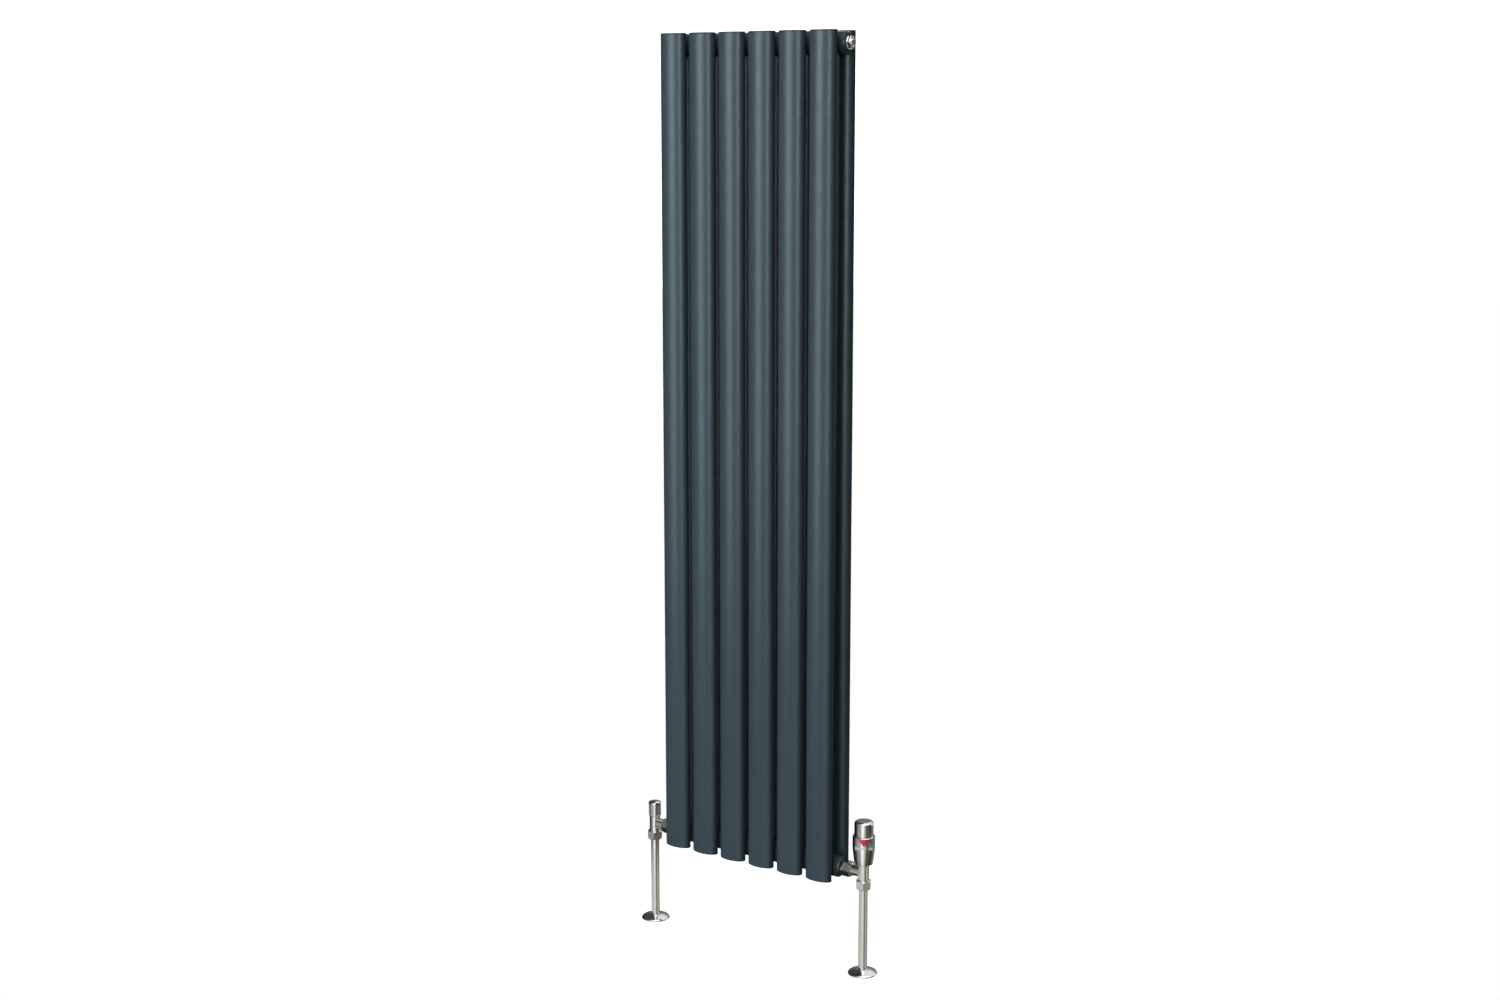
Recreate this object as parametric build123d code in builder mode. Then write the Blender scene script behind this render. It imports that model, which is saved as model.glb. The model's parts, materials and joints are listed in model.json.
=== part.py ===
"""Double-row vertical column radiator with an angled thermostatic valve, a lockshield valve,
15 mm pipe tails, floor collars and its wall brackets.

Frame: millimetres, +X to the thermostatic valve's side, +Y into the wall, +Z up.
The origin is on the wall, at the centre of the four brackets, level with mid column.
"""
from build123d import *
import math
import os

# Columns and headers
COLUMN_COUNT = 6
COLUMN_PITCH = 59.0
COLUMN_WIDTH = 50.0
COLUMN_DEPTH = 25.0
COLUMN_HEIGHT = 1400.0
COLUMN_WALL = 1.5
CAP_THICKNESS = 2.5
CAP_EDGE_RADIUS = 0.9
CAP_SEAM_CHAMFER = 0.5
ROW_SPACING = 53.0
HEADER_DIAMETER = 36.0
HEADER_WALL = 2.0
HEADER_INSET = 20.0
PORT_DIAMETER = 14.0
BOSS_LENGTH = 12.0
BOSS_BORE_RADIUS = 10.5
DIVERTER_THICKNESS = 2.0
DIVERTER_BLEED_RADIUS = 2.0

# Where the radiator hangs
WALL_GAP = 30.0
FLOOR_GAP = 159.0
BRACKET_Z = 590.0
BRACKET_HOLE_SPACING = 50.0
BRACKET_HOLE_RADIUS = 3.25
BRACKET_PLATE = (34.0, 74.0, 4.0)
BRACKET_BOSS_RADIUS = 11.0
LUG_SIZE = (86.0, 52.0, 3.0)
LUG_BITE = 1.0
HOOK_NECK_RADIUS = 6.0
HOOK_HEAD_RADIUS = 9.5
HOOK_HEAD_THICKNESS = 3.0
HOOK_THREAD_RADIUS = 4.0
HOOK_THREAD_LENGTH = 14.0
HOOK_KEY_WIDTH = 6.0
SLOT_CLEARANCE = 0.5
KEYHOLE_RADIUS = 11.5
KEYHOLE_DROP = 15.0
WASHER_THICKNESS = 1.0

# Valves, pipes and floor collars
VALVE_OFFSET = 43.0
VALVE_RADIUS = 9.5
CHAMBER_RADIUS = 7.5
SEAT_Z = -6.0
VALVE_TOP_Z = 14.0
THREAD_CLEARANCE = 0.05
PIPE_RADIUS = 7.5
PIPE_WALL = 0.7
PIPE_STUB = 30.0
PIPE_MARK_DEPTH = 0.25
PIPE_MARK_WIDTH = 1.0
PIPE_MARK_BELOW_FLOOR = 0.5
PIPE_STOP_Z = -12.5
NUT_TOP_Z = -14.0
NUT_BOTTOM_Z = -29.5
NUT_ACROSS_FLATS = 24.0
SPIGOT_RADIUS = 9.8
SPIGOT_END_Z = -24.0
OLIVE_END_Z = -27.2
UNION_ACROSS_FLATS = 24.0
UNION_START = 3.0
UNION_END = 20.0
UNION_THREAD_RADIUS = 11.0
WATERWAY_RADIUS = 5.5
COLLAR_RADIUS = 25.0
COLLAR_HEIGHT = 8.0

# Thermostatic head, heights above the bottom header's axis
SLEEVE_BOTTOM_Z = 15.5
SLEEVE_TOP_Z = 64.5
SLEEVE_RADIUS = 19.0
SLEEVE_FOOT_RADIUS = 15.3
SLEEVE_WALL = 1.5
HEAD_CAP_RADIUS = 16.1
HEAD_CAP_TOP_Z = 90.0
HEAD_CAP_BOTTOM_Z = 56.0
HEAD_CAP_EDGE = 5.0
HEAD_CAP_WALL = 1.6
MARK_AZIMUTH = 33.0
MARK_WIDTH = 21.0
MARK_HEIGHT = 13.0
MARK_DEPTH = 0.7
PIN_RADIUS = 1.5
PIN_TOP_Z = 33.0
DISC_LIFT_AT_REST = 0.4
SPRING_BOTTOM_Z = 15.3
SPRING_TOP_Z = 23.6
SPRING_WIRE_RADIUS = 0.35
SPRING_RADIUS = 3.3
SPRING_TURNS = 5

# Lockshield, heights above the bottom header's axis
SHIELD_RADIUS = 11.0
SHIELD_BOTTOM_Z = 14.3
SHIELD_TOP_Z = 41.0
SHIELD_RIBS = 16
SPINDLE_RADIUS = 4.0
SPINDLE_TOP_Z = 33.0
SPINDLE_FOOT_RADIUS = 2.5

# Plugs in the top header
PLUG_THREAD_LENGTH = 11.0
SEAL_THICKNESS = 1.5
PLUG_FLANGE_RADIUS = 11.5
PLUG_ACROSS_FLATS = 19.0

# Worked out from the above
REAR_Y = -(WALL_GAP + COLUMN_DEPTH / 2)
FRONT_Y = REAR_Y - ROW_SPACING
HEADER_Y = REAR_Y - ROW_SPACING / 2
TOP_Z = COLUMN_HEIGHT / 2
BOTTOM_Z = -COLUMN_HEIGHT / 2
HEADER_TOP_Z = TOP_Z - HEADER_INSET
HEADER_BOTTOM_Z = BOTTOM_Z + HEADER_INSET
FLOOR_Z = BOTTOM_Z - FLOOR_GAP
HEADER_RADIUS = HEADER_DIAMETER / 2
HEADER_END_X = COLUMN_COUNT * COLUMN_PITCH / 2
COLUMN_XS = [COLUMN_PITCH * (i - (COLUMN_COUNT - 1) / 2) for i in range(COLUMN_COUNT)]
VALVE_X = HEADER_END_X + VALVE_OFFSET
BRACKET_X = (COLUMN_XS[-1] + COLUMN_XS[-2]) / 2
RIGHT = 1
LEFT = -1


def save(piece, name):
    """Label a finished piece and write its STEP file."""
    piece.part.label = name
    export_step(piece.part, f"parts/{name}.step")


def end_plane(side, z):
    """Plane through a header's axis: x runs outwards from mid radiator, y is the radius."""
    return Plane(origin=(0, HEADER_Y, z), x_dir=(side, 0, 0), z_dir=(0, -side, 0))


def end_axis(z):
    """A header's own axis."""
    return Axis((0, HEADER_Y, z), (1, 0, 0))


def valve_plane(side):
    """Plane through a valve's axis: x is the radius, y the height above the bottom header's axis."""
    return Plane(origin=(side * VALVE_X, HEADER_Y, HEADER_BOTTOM_Z), x_dir=(1, 0, 0), z_dir=(0, -1, 0))


def valve_axis(side):
    """A valve's upright axis."""
    return Axis((side * VALVE_X, HEADER_Y, HEADER_BOTTOM_Z), (0, 0, 1))


def level(side, z):
    """Horizontal plane on a valve's axis, z above the bottom header's axis."""
    return Plane(origin=(side * VALVE_X, HEADER_Y, HEADER_BOTTOM_Z + z))


def facing_out(side, z, distance):
    """Plane across a header's axis that faces outwards, at a distance from mid radiator."""
    return Plane(origin=(side * distance, HEADER_Y, z), x_dir=(0, side, 0), z_dir=(side, 0, 0))


def turn(plane, axis, points, mode=Mode.ADD):
    """Revolve a closed outline of straight sides into the part that is being built."""
    with BuildSketch(plane) as outline:
        with BuildLine():
            Polyline(*points, close=True)
        make_face()
    revolve(outline.sketch, axis=axis, mode=mode)


def rod(plane, radius, length, mode=Mode.ADD):
    """Extrude a circle from a plane into the part that is being built."""
    with BuildSketch(plane) as outline:
        Circle(radius)
    extrude(outline.sketch, amount=length, mode=mode)


def prism(plane, across_flats, sides, length, mode=Mode.ADD):
    """Extrude a regular polygon, sized across its flats, into the part that is being built."""
    with BuildSketch(plane) as outline:
        RegularPolygon(across_flats / 2, sides, major_radius=False)
    extrude(outline.sketch, amount=length, mode=mode)


# ---------------------------------------------------------------- columns and headers

def make_column(name, x, y):
    """One oval tube, saddle-cut where the two headers pass between the rows."""
    tube_length = COLUMN_HEIGHT - 2 * CAP_THICKNESS
    with BuildPart() as column:
        with BuildSketch(Plane((x, y, BOTTOM_Z + CAP_THICKNESS))):
            Ellipse(COLUMN_WIDTH / 2, COLUMN_DEPTH / 2)
        extrude(amount=tube_length)
        with BuildSketch(Plane((x, y, BOTTOM_Z + CAP_THICKNESS))):
            Ellipse(COLUMN_WIDTH / 2 - COLUMN_WALL, COLUMN_DEPTH / 2 - COLUMN_WALL)
        extrude(amount=tube_length, mode=Mode.SUBTRACT)
        with BuildSketch(Plane.YZ.offset(x - COLUMN_WIDTH / 2)):
            with Locations((HEADER_Y, HEADER_TOP_Z), (HEADER_Y, HEADER_BOTTOM_Z)):
                Circle(HEADER_RADIUS)
        extrude(amount=COLUMN_WIDTH, mode=Mode.SUBTRACT)
    save(column, name)


def make_column_caps(name, y, z, outer_face):
    """The welded end plates of one row, one oval plate on each column, with a shallow seam at the weld."""
    with BuildPart() as caps:
        with BuildSketch(Plane((0, y, z))):
            with Locations(*[(x, 0) for x in COLUMN_XS]):
                Ellipse(COLUMN_WIDTH / 2, COLUMN_DEPTH / 2)
        extrude(amount=CAP_THICKNESS)
        rims = caps.edges().filter_by(GeomType.ELLIPSE)
        fillet(rims.filter_by_position(Axis.Z, outer_face, outer_face), CAP_EDGE_RADIUS)
        inner_face = 2 * z + CAP_THICKNESS - outer_face
        rims = caps.edges().filter_by(GeomType.ELLIPSE)
        chamfer(rims.filter_by_position(Axis.Z, inner_face, inner_face), CAP_SEAM_CHAMFER)
    save(caps, name)


def make_header(name, z):
    """A round header tube, with a port through each side at every column."""
    tube_end = HEADER_END_X - BOSS_LENGTH
    with BuildPart() as header:
        with BuildSketch(Plane.YZ.offset(-tube_end)):
            with Locations((HEADER_Y, z)):
                Circle(HEADER_RADIUS)
                Circle(HEADER_RADIUS - HEADER_WALL, mode=Mode.SUBTRACT)
        extrude(amount=2 * tube_end)
        with BuildSketch(Plane.XZ.offset(-FRONT_Y)):
            with Locations(*[(x, z) for x in COLUMN_XS]):
                Circle(PORT_DIAMETER / 2)
        extrude(amount=-ROW_SPACING, mode=Mode.SUBTRACT)
    save(header, name)


def make_header_end_bosses():
    """Four threaded end rings, welded into the ends of the two headers."""
    start = HEADER_END_X - BOSS_LENGTH
    outline = [
        (start, BOSS_BORE_RADIUS), (start, HEADER_RADIUS), (HEADER_END_X - 3.5, HEADER_RADIUS),
        (HEADER_END_X - 1.5, HEADER_RADIUS - 2), (HEADER_END_X - 1.5, HEADER_RADIUS - 3.5),
        (HEADER_END_X, HEADER_RADIUS - 4.2), (HEADER_END_X, BOSS_BORE_RADIUS),
    ]
    with BuildPart() as bosses:
        for side in (LEFT, RIGHT):
            for z in (HEADER_BOTTOM_Z, HEADER_TOP_Z):
                turn(end_plane(side, z), end_axis(z), outline)
    save(bosses, "header_end_bosses")


def make_flow_diverter():
    """Blanking disc in the bottom header that sends the flow up the first pair of columns."""
    with BuildPart() as diverter:
        rod(facing_out(RIGHT, HEADER_BOTTOM_Z, BRACKET_X), HEADER_RADIUS - HEADER_WALL, DIVERTER_THICKNESS)
        rod(facing_out(RIGHT, HEADER_BOTTOM_Z, BRACKET_X), DIVERTER_BLEED_RADIUS, DIVERTER_THICKNESS,
            Mode.SUBTRACT)
    save(diverter, "flow_diverter")


# ---------------------------------------------------------------- hanging lugs and brackets

def make_hanging_lug(name, x, z):
    """A keyhole plate, welded across the backs of two neighbouring rear columns."""
    width, height, thickness = LUG_SIZE
    back_y = -WALL_GAP - LUG_BITE + thickness
    slot_radius = HOOK_NECK_RADIUS + SLOT_CLEARANCE
    slot_z = z - SLOT_CLEARANCE
    with BuildPart() as lug:
        with BuildSketch(Plane.XZ.offset(-back_y)):
            with Locations((x, z - KEYHOLE_DROP / 2)):
                RectangleRounded(width, height, 4)
            with Locations((x, slot_z)):
                Circle(slot_radius, mode=Mode.SUBTRACT)
            with Locations((x, slot_z - KEYHOLE_DROP / 2)):
                Rectangle(2 * slot_radius, KEYHOLE_DROP, mode=Mode.SUBTRACT)
            with Locations((x, slot_z - KEYHOLE_DROP)):
                Circle(KEYHOLE_RADIUS, mode=Mode.SUBTRACT)
        extrude(amount=thickness)
        with BuildSketch(Plane((0, REAR_Y, z - height))):
            with Locations((x - COLUMN_PITCH / 2, 0), (x + COLUMN_PITCH / 2, 0)):
                Ellipse(COLUMN_WIDTH / 2, COLUMN_DEPTH / 2)
        extrude(amount=2 * height, mode=Mode.SUBTRACT)
    save(lug, name)


def make_wall_bracket(name, x, z):
    """A wall plate with two screw holes and a boss that is tapped for the hook bolt."""
    width, height, thickness = BRACKET_PLATE
    boss_end = WALL_GAP + LUG_BITE - LUG_SIZE[2] - WASHER_THICKNESS
    with BuildPart() as bracket:
        with BuildSketch(Plane.XZ):
            with Locations((x, z)):
                RectangleRounded(width, height, 8)
        extrude(amount=thickness)
        rim = bracket.faces().sort_by(Axis.Y)[0].outer_wire().edges()
        chamfer(rim, 1)
        with BuildSketch(Plane.XZ):
            with Locations((x, z)):
                Circle(BRACKET_BOSS_RADIUS)
        extrude(amount=boss_end)
        with BuildSketch(Plane.XZ):
            with Locations((x, z - BRACKET_HOLE_SPACING / 2), (x, z + BRACKET_HOLE_SPACING / 2)):
                Circle(BRACKET_HOLE_RADIUS)
        extrude(amount=thickness, mode=Mode.SUBTRACT)
        with BuildSketch(Plane.XZ.offset(boss_end)):
            with Locations((x, z)):
                Circle(HOOK_THREAD_RADIUS + THREAD_CLEARANCE)
        extrude(amount=-HOOK_THREAD_LENGTH - 2, mode=Mode.SUBTRACT)
    save(bracket, name)


def make_bracket_hook_bolts(places):
    """Four shoulder bolts; each screws into a bracket's boss and its head holds the lug."""
    washer_front = WALL_GAP + LUG_BITE - LUG_SIZE[2]
    head_back = washer_front + LUG_SIZE[2] + 0.3
    with BuildPart() as bolts:
        for x, z in places:
            with BuildSketch(Plane.XZ.offset(washer_front - WASHER_THICKNESS)):
                with Locations((x, z)):
                    Circle(HOOK_THREAD_RADIUS)
            extrude(amount=-HOOK_THREAD_LENGTH)
            with BuildSketch(Plane.XZ.offset(washer_front - WASHER_THICKNESS)):
                with Locations((x, z)):
                    Circle(HOOK_NECK_RADIUS)
            extrude(amount=head_back - washer_front + WASHER_THICKNESS)
            with BuildSketch(Plane.XZ.offset(head_back)):
                with Locations((x, z)):
                    Circle(HOOK_HEAD_RADIUS)
            extrude(amount=HOOK_HEAD_THICKNESS)
            with BuildSketch(Plane.XZ.offset(head_back + HOOK_HEAD_THICKNESS)):
                with Locations((x, z)):
                    RegularPolygon(HOOK_KEY_WIDTH / 2, 6, major_radius=False)
            extrude(amount=-HOOK_HEAD_THICKNESS - 2, mode=Mode.SUBTRACT)
    save(bolts, "bracket_hook_bolts")


def make_bracket_washers(places):
    """Four plastic washers that keep the lugs from rattling on the brackets."""
    with BuildPart() as washers:
        with BuildSketch(Plane.XZ.offset(WALL_GAP + LUG_BITE - LUG_SIZE[2])):
            with Locations(*places):
                Circle(BRACKET_BOSS_RADIUS)
                Circle(HOOK_NECK_RADIUS + THREAD_CLEARANCE, mode=Mode.SUBTRACT)
        extrude(amount=-WASHER_THICKNESS)
    save(washers, "bracket_washers")


# ---------------------------------------------------------------- plugs in the top header

def make_plug_seals():
    """Flat rubber rings under the vent plug and the blanking plug."""
    with BuildPart() as seals:
        for side in (LEFT, RIGHT):
            turn(end_plane(side, HEADER_TOP_Z), end_axis(HEADER_TOP_Z), [
                (HEADER_END_X, BOSS_BORE_RADIUS), (HEADER_END_X, PLUG_FLANGE_RADIUS + 1.2),
                (HEADER_END_X + SEAL_THICKNESS, PLUG_FLANGE_RADIUS + 0.8),
                (HEADER_END_X + SEAL_THICKNESS, BOSS_BORE_RADIUS),
            ])
    save(seals, "plug_seals")


def make_vent_plug():
    """Hexagon plug that carries the bleed screw, with a drip hole below its nose."""
    thread_radius = BOSS_BORE_RADIUS - THREAD_CLEARANCE
    face = HEADER_END_X + SEAL_THICKNESS
    nose_end = face + 8.5
    bleed_hole = 3.0 + THREAD_CLEARANCE
    with BuildPart() as plug:
        turn(end_plane(RIGHT, HEADER_TOP_Z), end_axis(HEADER_TOP_Z), [
            (HEADER_END_X - PLUG_THREAD_LENGTH, 0), (HEADER_END_X - PLUG_THREAD_LENGTH, thread_radius),
            (face, thread_radius), (face, PLUG_FLANGE_RADIUS), (face + 1.5, PLUG_FLANGE_RADIUS),
            (face + 1.5, 0),
        ])
        prism(facing_out(RIGHT, HEADER_TOP_Z, face + 1.5), PLUG_ACROSS_FLATS, 6, 4.5)
        hex_rim = plug.faces().sort_by(Axis.X)[-1].edges()
        chamfer(hex_rim, 0.8)
        rod(facing_out(RIGHT, HEADER_TOP_Z, face + 6), 6.5, nose_end - face - 6)
        nose_rim = plug.faces().sort_by(Axis.X)[-1].edges()
        fillet(nose_rim, 1)
        rod(facing_out(RIGHT, HEADER_TOP_Z, nose_end), 4.5, -5, Mode.SUBTRACT)
        rod(facing_out(RIGHT, HEADER_TOP_Z, nose_end), bleed_hole, -14, Mode.SUBTRACT)
        rod(facing_out(RIGHT, HEADER_TOP_Z, nose_end), 1.2, -30, Mode.SUBTRACT)
        with BuildSketch(Plane((face + 3.5, HEADER_Y, HEADER_TOP_Z))):
            Circle(1)
        extrude(amount=-PLUG_ACROSS_FLATS, mode=Mode.SUBTRACT)
    save(plug, "vent_plug")


def make_bleed_screw():
    """Small screw with a cone tip and a square end for the radiator key."""
    nose_end = HEADER_END_X + SEAL_THICKNESS + 8.5
    with BuildPart() as screw:
        turn(end_plane(RIGHT, HEADER_TOP_Z), end_axis(HEADER_TOP_Z), [
            (nose_end - 13.8, 0), (nose_end - 13.8, 1.6), (nose_end - 12.4, 3),
            (nose_end - 8.5, 3), (nose_end - 8.5, 2.2), (nose_end - 6.5, 2.2), (nose_end - 6.5, 3),
            (nose_end - 5, 3), (nose_end - 5, 0),
        ])
        prism(facing_out(RIGHT, HEADER_TOP_Z, nose_end - 5), 5, 4, 4.6)
    save(screw, "bleed_screw")


def make_blanking_plug():
    """Round plug with a hexagon socket, on the side that has no vent."""
    thread_radius = BOSS_BORE_RADIUS - THREAD_CLEARANCE
    face = HEADER_END_X + SEAL_THICKNESS
    with BuildPart() as plug:
        turn(end_plane(LEFT, HEADER_TOP_Z), end_axis(HEADER_TOP_Z), [
            (HEADER_END_X - PLUG_THREAD_LENGTH, 0), (HEADER_END_X - PLUG_THREAD_LENGTH, thread_radius),
            (face, thread_radius), (face, PLUG_FLANGE_RADIUS), (face + 2.5, PLUG_FLANGE_RADIUS),
            (face + 4.5, PLUG_FLANGE_RADIUS - 2), (face + 4.5, 0),
        ])
        prism(facing_out(LEFT, HEADER_TOP_Z, face + 4.5), 10, 6, -8, Mode.SUBTRACT)
        rod(facing_out(LEFT, HEADER_TOP_Z, HEADER_END_X - PLUG_THREAD_LENGTH), 8, 6, Mode.SUBTRACT)
    save(plug, "blanking_plug")


# ---------------------------------------------------------------- what both valves share

def make_valve_body(name, side):
    """Angle valve body: pipe socket below, seat and chamber inside, branch to the radiator."""
    socket_radius = PIPE_RADIUS + THREAD_CLEARANCE
    branch = VALVE_X - VALVE_RADIUS
    with BuildPart() as body:
        turn(valve_plane(side), valve_axis(side), [
            (0, SPIGOT_END_Z), (SPIGOT_RADIUS, SPIGOT_END_Z), (SPIGOT_RADIUS, NUT_TOP_Z + 1),
            (VALVE_RADIUS, NUT_TOP_Z + 2), (VALVE_RADIUS, VALVE_TOP_Z - 1), (VALVE_RADIUS - 1, VALVE_TOP_Z),
            (0, VALVE_TOP_Z),
        ])
        turn(end_plane(side, HEADER_BOTTOM_Z), end_axis(HEADER_BOTTOM_Z), [
            (HEADER_END_X + UNION_START + 5.5, 0), (HEADER_END_X + UNION_START + 5.5, UNION_THREAD_RADIUS),
            (HEADER_END_X + UNION_END, UNION_THREAD_RADIUS), (HEADER_END_X + UNION_END + 1.5, VALVE_RADIUS - 0.2),
            (branch + 3, VALVE_RADIUS - 0.2), (branch + 3, 0),
        ])
        turn(valve_plane(side), valve_axis(side), [
            (0, SPIGOT_END_Z - 1), (socket_radius, SPIGOT_END_Z - 1), (socket_radius, PIPE_STOP_Z),
            (WATERWAY_RADIUS - 0.5, PIPE_STOP_Z), (WATERWAY_RADIUS - 0.5, SEAT_Z), (CHAMBER_RADIUS, SEAT_Z),
            (CHAMBER_RADIUS, VALVE_TOP_Z + 1), (0, VALVE_TOP_Z + 1),
        ], Mode.SUBTRACT)
        rod(facing_out(side, HEADER_BOTTOM_Z, HEADER_END_X), WATERWAY_RADIUS, VALVE_OFFSET, Mode.SUBTRACT)
    save(body, name)


def make_valve_tails():
    """Tails that screw into the bottom header's ends and carry the union nuts."""
    end = HEADER_END_X + UNION_START + 5.5
    with BuildPart() as tails:
        for side in (LEFT, RIGHT):
            turn(end_plane(side, HEADER_BOTTOM_Z), end_axis(HEADER_BOTTOM_Z), [
                (HEADER_END_X - PLUG_THREAD_LENGTH, WATERWAY_RADIUS),
                (HEADER_END_X - PLUG_THREAD_LENGTH, BOSS_BORE_RADIUS - THREAD_CLEARANCE),
                (HEADER_END_X, BOSS_BORE_RADIUS - THREAD_CLEARANCE), (HEADER_END_X, 12.2),
                (HEADER_END_X + UNION_START - 0.5, 12.2), (HEADER_END_X + UNION_START - 0.5, 8.5),
                (end - 3, 8.5), (end - 3, UNION_THREAD_RADIUS - 0.3), (end, UNION_THREAD_RADIUS - 0.3),
                (end, WATERWAY_RADIUS),
            ])
    save(tails, "valve_tails")


def make_union_nuts():
    """Hexagon union nuts that clamp the tails to the valve bodies."""
    start = HEADER_END_X + UNION_START
    end = HEADER_END_X + UNION_END
    with BuildPart() as nuts:
        for side in (LEFT, RIGHT):
            with BuildPart(mode=Mode.PRIVATE) as nut:
                prism(facing_out(side, HEADER_BOTTOM_Z, start), UNION_ACROSS_FLATS, 6, end - start)
                corner = UNION_ACROSS_FLATS / math.sqrt(3)
                turn(end_plane(side, HEADER_BOTTOM_Z), end_axis(HEADER_BOTTOM_Z), [
                    (start, 0), (start, corner - 1.6), (start + 1.6, corner), (end - 1.6, corner),
                    (end, corner - 1.6), (end, 0),
                ], Mode.INTERSECT)
                turn(end_plane(side, HEADER_BOTTOM_Z), end_axis(HEADER_BOTTOM_Z), [
                    (start - 1, 0), (start - 1, 8.6), (start + 2.5, 8.6),
                    (start + 2.5, UNION_THREAD_RADIUS + THREAD_CLEARANCE),
                    (end + 1, UNION_THREAD_RADIUS + THREAD_CLEARANCE), (end + 1, 0),
                ], Mode.SUBTRACT)
            add(nut.part)
    save(nuts, "union_nuts")


def make_compression_nuts():
    """Hexagon nuts that squeeze the olives between pipe and valve body."""
    thread_radius = SPIGOT_RADIUS + THREAD_CLEARANCE
    corner = NUT_ACROSS_FLATS / math.sqrt(3)
    with BuildPart() as nuts:
        for side in (LEFT, RIGHT):
            with BuildPart(mode=Mode.PRIVATE) as nut:
                prism(level(side, NUT_BOTTOM_Z), NUT_ACROSS_FLATS, 6, NUT_TOP_Z - NUT_BOTTOM_Z)
                turn(valve_plane(side), valve_axis(side), [
                    (0, NUT_BOTTOM_Z), (corner - 2.4, NUT_BOTTOM_Z), (corner, NUT_BOTTOM_Z + 2.4),
                    (corner, NUT_TOP_Z - 1.8), (corner - 1.8, NUT_TOP_Z), (0, NUT_TOP_Z),
                ], Mode.INTERSECT)
                turn(valve_plane(side), valve_axis(side), [
                    (0, NUT_BOTTOM_Z - 1), (PIPE_RADIUS + 0.1, NUT_BOTTOM_Z - 1),
                    (PIPE_RADIUS + 0.1, OLIVE_END_Z), (thread_radius, OLIVE_END_Z),
                    (thread_radius, NUT_TOP_Z + 1), (0, NUT_TOP_Z + 1),
                ], Mode.SUBTRACT)
            add(nut.part)
    save(nuts, "compression_nuts")


def make_olives():
    """Soft brass rings that seal the pipes in the valve bodies."""
    middle = (SPIGOT_END_Z + OLIVE_END_Z) / 2
    with BuildPart() as olives:
        for side in (LEFT, RIGHT):
            turn(valve_plane(side), valve_axis(side), [
                (PIPE_RADIUS, OLIVE_END_Z), (PIPE_RADIUS + 0.8, OLIVE_END_Z), (PIPE_RADIUS + 1.8, middle),
                (PIPE_RADIUS + 0.8, SPIGOT_END_Z), (PIPE_RADIUS, SPIGOT_END_Z),
            ])
    save(olives, "olives")


def make_pipe(name, side):
    """A 15 mm pipe from the valve's socket down through the floor, with a mark rolled round it just
    below the floor, which is how far a coupling goes on."""
    stub_end = FLOOR_Z - PIPE_STUB
    mark_top = FLOOR_Z - PIPE_MARK_BELOW_FLOOR
    with BuildPart() as pipe:
        with BuildSketch(Plane((side * VALVE_X, HEADER_Y, stub_end))):
            Circle(PIPE_RADIUS)
            Circle(PIPE_RADIUS - PIPE_WALL, mode=Mode.SUBTRACT)
        extrude(amount=HEADER_BOTTOM_Z + PIPE_STOP_Z - stub_end)
        with BuildSketch(Plane((side * VALVE_X, HEADER_Y, mark_top))):
            Circle(PIPE_RADIUS + 1)
            Circle(PIPE_RADIUS - PIPE_MARK_DEPTH, mode=Mode.SUBTRACT)
        extrude(amount=-PIPE_MARK_WIDTH, mode=Mode.SUBTRACT)
    save(pipe, name)


def make_floor_collar(name, side):
    """A low domed collar that hides the pipe's hole in the floor and slides up the pipe."""
    hole = PIPE_RADIUS + 0.1
    base = FLOOR_Z - HEADER_BOTTOM_Z
    wall = 1.2
    with BuildPart() as collar:
        with BuildSketch(valve_plane(side)) as outline:
            with BuildLine():
                Polyline((hole, base + COLLAR_HEIGHT), (hole, base), (hole + wall, base),
                         (hole + wall, base + COLLAR_HEIGHT - 2 * wall))
                Spline((hole + wall, base + COLLAR_HEIGHT - 2 * wall), (COLLAR_RADIUS - 6, base + 4.0),
                       (COLLAR_RADIUS - wall, base), tangents=[(1, 0), (0.3, -1)])
                Line((COLLAR_RADIUS - wall, base), (COLLAR_RADIUS, base))
                Line((COLLAR_RADIUS, base), (COLLAR_RADIUS, base + 1))
                Spline((COLLAR_RADIUS, base + 1), (COLLAR_RADIUS - 5.2, base + 5.2),
                       (hole + 2 * wall, base + COLLAR_HEIGHT), tangents=[(-0.3, 1), (-1, 0.1)])
                Line((hole + 2 * wall, base + COLLAR_HEIGHT), (hole, base + COLLAR_HEIGHT))
            make_face()
        revolve(outline.sketch, axis=valve_axis(side))
    save(collar, name)


# ---------------------------------------------------------------- inside the thermostatic valve

def make_trv_insert():
    """Brass insert screwed into the valve body; it guides the pin and houses the spring."""
    with BuildPart() as insert:
        turn(valve_plane(RIGHT), valve_axis(RIGHT), [
            (PIN_RADIUS + THREAD_CLEARANCE, 7), (CHAMBER_RADIUS - THREAD_CLEARANCE, 7),
            (CHAMBER_RADIUS - THREAD_CLEARANCE, VALVE_TOP_Z), (10.9, VALVE_TOP_Z), (10.9, 26), (4.2, 26),
            (4.2, SPRING_BOTTOM_Z - 0.3), (PIN_RADIUS + THREAD_CLEARANCE, SPRING_BOTTOM_Z - 0.3),
        ])
    save(insert, "trv_insert")


def make_trv_gland():
    """Gland cap on the insert, which seals round the pin."""
    with BuildPart() as gland:
        turn(valve_plane(RIGHT), valve_axis(RIGHT), [
            (PIN_RADIUS + THREAD_CLEARANCE, 28.6), (4.2, 28.6), (4.2, 26), (7.0, 26), (7.0, 29),
            (6.0, 30), (PIN_RADIUS + THREAD_CLEARANCE, 30),
        ])
    save(gland, "trv_gland")


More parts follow.
